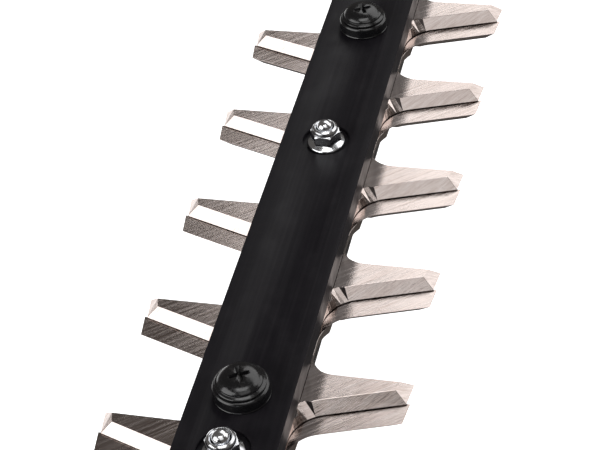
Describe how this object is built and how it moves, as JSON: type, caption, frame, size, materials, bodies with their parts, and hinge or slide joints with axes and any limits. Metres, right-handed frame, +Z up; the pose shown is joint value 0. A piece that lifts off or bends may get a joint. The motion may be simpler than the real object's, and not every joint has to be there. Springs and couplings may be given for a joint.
{
  "type": "hedge trimmer",
  "caption": "Cordless hedge trimmer: double-sided reciprocating toothed blades on a black guide bar, geared drive, loop front handle, guard, rear grip and slide-off battery.",
  "frame": {"origin": "on the underside of the front foot, straight below the crankshaft", "axes": "+X along the cutter bar towards its tip, +Y to the left of a user holding it, +Z up"},
  "size_m": [0.9206, 0.1994, 0.207],
  "materials": {
    "blade_steel": "ground, with diagonal grinding lines",
    "bar_black": "black satin anodised",
    "black_steel": "glossy black oxide",
    "zinc": "bright zinc plate",
    "cast_aluminium": "as cast",
    "gear_steel": "machined",
    "housing_plastic": "fine moulded grain",
    "accent_plastic": "satin",
    "guard_plastic": "smooth",
    "rubber": "soft matt",
    "cell_wrap": "wrapped cell block",
    "board": "potted board"
  },
  "bodies": {
    "frame": {"bar_clamp": "cast_aluminium", "blade_bolt_1": "zinc", "blade_bolt_2": "zinc", "blade_bolt_3": "zinc", "blade_bolt_4": "zinc", "blade_bolt_5": "zinc", "control_board": "board", "front_foot": "rubber", "front_handle": "rubber", "gear_case": "cast_aluminium", "gear_case_cover": "cast_aluminium", "guard_screw_left": "black_steel", "guard_screw_right": "black_steel", "guide_bar": "bar_black", "guide_screw_1": "black_steel", "guide_screw_2": "black_steel", "guide_screw_3": "black_steel", "hand_guard": "guard_plastic", "handle_flange_left": "housing_plastic", "handle_flange_right": "housing_plastic", "housing_left": "housing_plastic", "housing_right": "housing_plastic", "housing_screw_1": "black_steel", "housing_screw_2": "black_steel", "housing_screw_3": "black_steel", "housing_screw_4": "black_steel", "housing_screw_5": "black_steel", "lock_nut_1": "zinc", "lock_nut_2": "zinc", "lock_nut_3": "zinc", "lock_nut_4": "zinc", "lock_nut_5": "zinc", "lower_bearing": "zinc", "motor_can": "gear_steel", "rear_foot": "rubber", "screw_collar_1": "black_steel", "screw_collar_2": "black_steel", "screw_collar_3": "black_steel", "tip_guard": "guard_plastic", "trigger_pin": "gear_steel", "trigger_switch": "housing_plastic", "upper_bearing": "zinc", "wear_strip": "black_steel"},
    "upper_blade": {"upper_blade": "blade_steel"},
    "lower_blade": {"lower_blade": "blade_steel"},
    "crank": {"crankshaft": "gear_steel", "drive_gear": "gear_steel"},
    "rotor": {"pinion": "gear_steel", "motor_shaft": "gear_steel"},
    "trigger": {"trigger": "accent_plastic"},
    "lock_off_button": {"lock_off_button": "accent_plastic"},
    "switch_lever": {"switch_lever": "accent_plastic"},
    "battery": {"battery_case": "housing_plastic", "battery_cells": "cell_wrap", "battery_lid": "housing_plastic"},
    "battery_release": {"battery_release": "accent_plastic"}
  },
  "joints": [
    {"name": "upper_blade_slide", "type": "slide", "parent": "frame", "child": "upper_blade", "axis": [1, 0, 0], "range_m": [-0.00935, 0.00365]},
    {"name": "lower_blade_slide", "type": "slide", "parent": "frame", "child": "lower_blade", "axis": [1, 0, 0], "range_m": [-0.00365, 0.00935]},
    {"name": "crank_spin", "type": "hinge", "parent": "frame", "child": "crank", "pos_m": [0, 0, 0.038], "axis": [0, 0, 1], "continuous": true},
    {"name": "rotor_spin", "type": "hinge", "parent": "frame", "child": "rotor", "pos_m": [-0.0343, 0, 0.038], "axis": [0, 0, 1], "continuous": true},
    {"name": "trigger_pull", "type": "hinge", "parent": "frame", "child": "trigger", "pos_m": [-0.102, 0, 0.101], "axis": [0, 1, 0], "range_deg": [0, 10], "stiffness_Nm_per_rad": 0.6, "springref_deg": -8.59},
    {"name": "lock_off_press", "type": "slide", "parent": "frame", "child": "lock_off_button", "axis": [0, 0, -1], "range_m": [0, 0.003], "stiffness_N_per_m": 300, "springref_m": -0.002},
    {"name": "switch_lever_press", "type": "hinge", "parent": "frame", "child": "switch_lever", "pos_m": [-0.016, 0, 0.0836], "axis": [0, 1, 0], "range_deg": [0, 8], "stiffness_Nm_per_rad": 2, "springref_deg": -6.88},
    {"name": "battery_slide", "type": "slide", "parent": "frame", "child": "battery", "axis": [-1, 0, 0], "range_m": [0, 0.06]},
    {"name": "battery_release_slide", "type": "slide", "parent": "battery", "child": "battery_release", "axis": [-1, 0, 0], "range_m": [0, 0.005], "stiffness_N_per_m": 200, "springref_m": -0.003}
  ],
  "couplings": [
    {"joint": "lower_blade_slide", "follows": "upper_blade_slide", "ratio": -1},
    {"joint": "rotor_spin", "follows": "crank_spin", "ratio": -4.6667}
  ]
}
